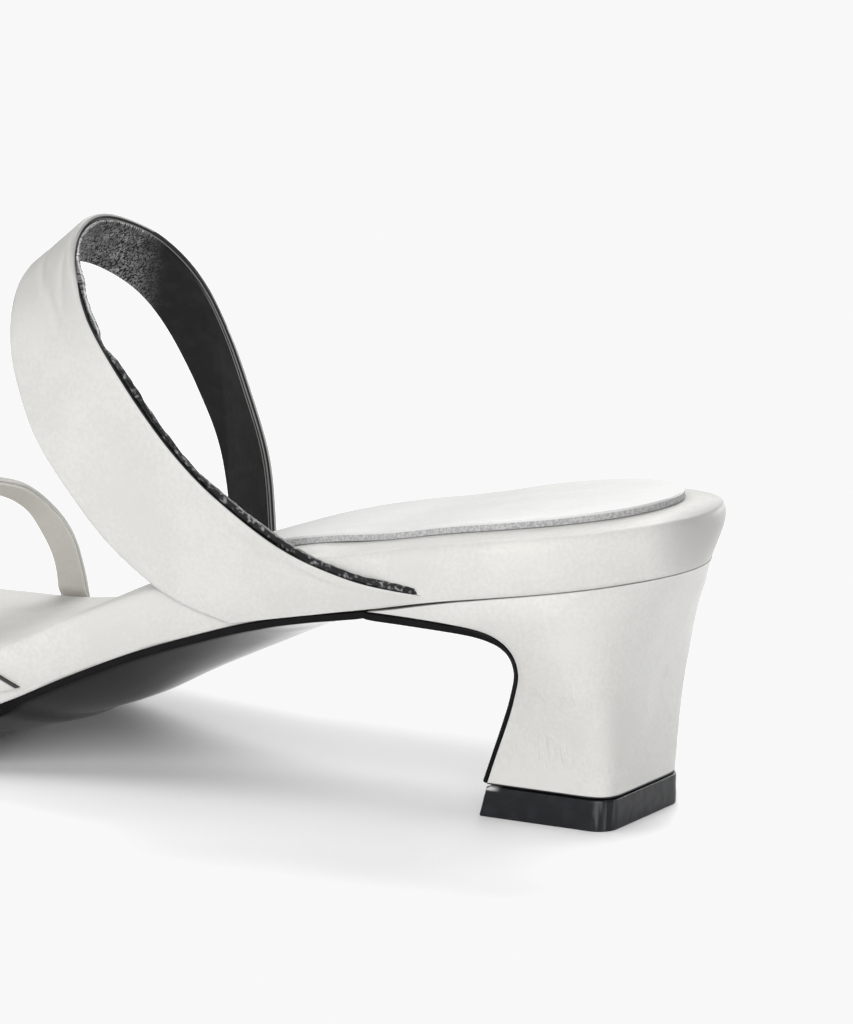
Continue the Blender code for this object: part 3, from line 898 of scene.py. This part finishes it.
def tip(u, v, h):
    x = TIP_LENGTH / 2 * u
    y = TIP_WIDTH / 2 * v
    corner_x = -TIP_LENGTH / 2 + TIP_CORNER
    corner_y = TIP_WIDTH / 2 - TIP_CORNER
    if x < corner_x and abs(y) > corner_y:
        off = Vector((x - corner_x, abs(y) - corner_y))
        reach = max(abs(off.x), off.y)
        off = off.normalized() * reach if off.length > 0 else off
        x = corner_x + off.x
        y = math.copysign(corner_y + off.y, y)
    x -= TIP_SLOPE * h * fade(u, 0.4, 1.0)
    return x, y, TIP * h


def tip_relief(at, u, v, h):
    return ripple(at, 1.3, 0.04) if 0 < h < 1 else 0.0


tip_rubber, tip_shader = finish("tip_rubber", 0.36, Specular_IOR_Level=0.22)
at = place_of(tip_rubber)
run, side, rise = (mark_of(tip_rubber, word) for word in ("run", "side", "rise"))
rubber = blend(tip_rubber, between(tip_rubber, speckle(tip_rubber, at, 400.0), 0.4, 0.7),
               (0.009, 0.0095, 0.0115), (0.014, 0.0145, 0.0175))
# Painted highlights: pale patches on the top edge at the front and on the inner side, where its
# top ledge catches the light, and pale streaks down the outer rear corner
ends = maths(tip_rubber, "MAXIMUM", between(tip_rubber, run, 0.70, 0.95),
             between(tip_rubber, side, -0.8, -0.97))
ledge_glare = both(tip_rubber, between(tip_rubber, rise, 0.84, 0.94), ends,
             between(tip_rubber, speckle(tip_rubber, at, 700.0, 2.0), 0.38, 0.48))
streaky = add(tip_rubber, "ShaderNodeMapping",
              {"Vector": at, "Scale": (1500.0, 1500.0, 120.0)}).outputs["Vector"]
corner = maths(tip_rubber, "SUBTRACT", axis_of(tip_rubber, "Y"), axis_of(tip_rubber, "X"))
corner_highlights = both(tip_rubber, between(tip_rubber, corner, 0.0222, 0.0229),
            between(tip_rubber, speckle(tip_rubber, streaky, 1.0, 2.0), 0.45, 0.65))
rubber = blend(tip_rubber, corner_highlights, rubber, (0.055, 0.056, 0.060))
join(tip_rubber, blend(tip_rubber, ledge_glare, rubber, (0.5, 0.5, 0.5)), tip_shader, "Base Color")
bump(tip_rubber, tip_shader, (speckle(tip_rubber, at, 1800.0), 0.012))
make("heel_tip", "top_lift", (60, 60, 12), tip, tip_rubber, tip_relief, 0.3)

# Floor and light: a pale paper sweep under wide soft lamps. The floor is lit so brightly that it
# has no tone of its own outside the shadow, and a low strip behind is mirrored in the sole.
PAPER_WHITE = 0.94
FLOOR_SIZE = 6.0         # in metres, half of its width
floor_mesh = bmesh.new()
bmesh.ops.create_grid(floor_mesh, x_segments=1, y_segments=1, size=FLOOR_SIZE)
floor_data = bpy.data.meshes.new("floor")
floor_mesh.to_mesh(floor_data)
floor_mesh.free()
floor_finish, floor_shader = finish("floor_paper", 0.9, Specular_IOR_Level=0.0)
floor_shader.inputs["Base Color"].default_value = (0.97, 0.97, 0.975, 1.0)
floor_data.materials.append(floor_finish)
floor = bpy.data.objects.new("floor", floor_data)
bpy.context.scene.collection.objects.link(floor)

world = bpy.data.worlds.new("studio")
world.use_nodes = True
sky = world.node_tree.nodes["Background"]
sky.inputs["Color"].default_value = (0.09, 0.09, 0.091, 1.0)
bpy.context.scene.world = world

Lamp = namedtuple("Lamp", "name power towards spread")
LAMPS = (
    Lamp("rear_bank", 2.05, (0.4, -1.0, 0.85), 40),
    Lamp("front_bank", 2.85, (-0.3, 1.0, 0.38), 60),
    Lamp("toe_bank", 1.05, (0.6, 0.3, 0.8), 40),
    Lamp("heel_bank", 0.4, (-0.3, -0.1, 1.0), 50),
)


def lamp(name, kind, power, towards, place=(0.0, 0.0, 1.0)):
    """A lamp that stands in the direction towards, as seen from the sandal."""
    light = bpy.data.lights.new(name, kind)
    light.energy = power
    stand = bpy.data.objects.new(name, light)
    stand.location = place
    stand.rotation_euler = Vector(towards).to_track_quat("Z", "Y").to_euler()
    bpy.context.scene.collection.objects.link(stand)
    return light


for bank in LAMPS:
    lamp(bank.name, "SUN", bank.power, bank.towards).angle = math.radians(bank.spread)
strip = lamp("low_strip", "AREA", 0.78, (-0.14, -0.40, 0.09), (-0.10, -0.40, 0.09))
strip.shape = "RECTANGLE"
strip.size, strip.size_y = 0.25, 0.06

# A tone curve holds everything as bright as the lit floor at the white of the paper
view = bpy.context.scene.view_settings
view.view_transform = "Standard"
view.use_curve_mapping = True
curves = view.curve_mapping
curves.extend = "HORIZONTAL"
whole = curves.curves[3]
whole.points.new(0.8, 0.8)
whole.points.new(0.9, PAPER_WHITE)
whole.points[3].location = (1.0, PAPER_WHITE)
for point in whole.points:
    point.handle_type = "VECTOR"
curves.update()
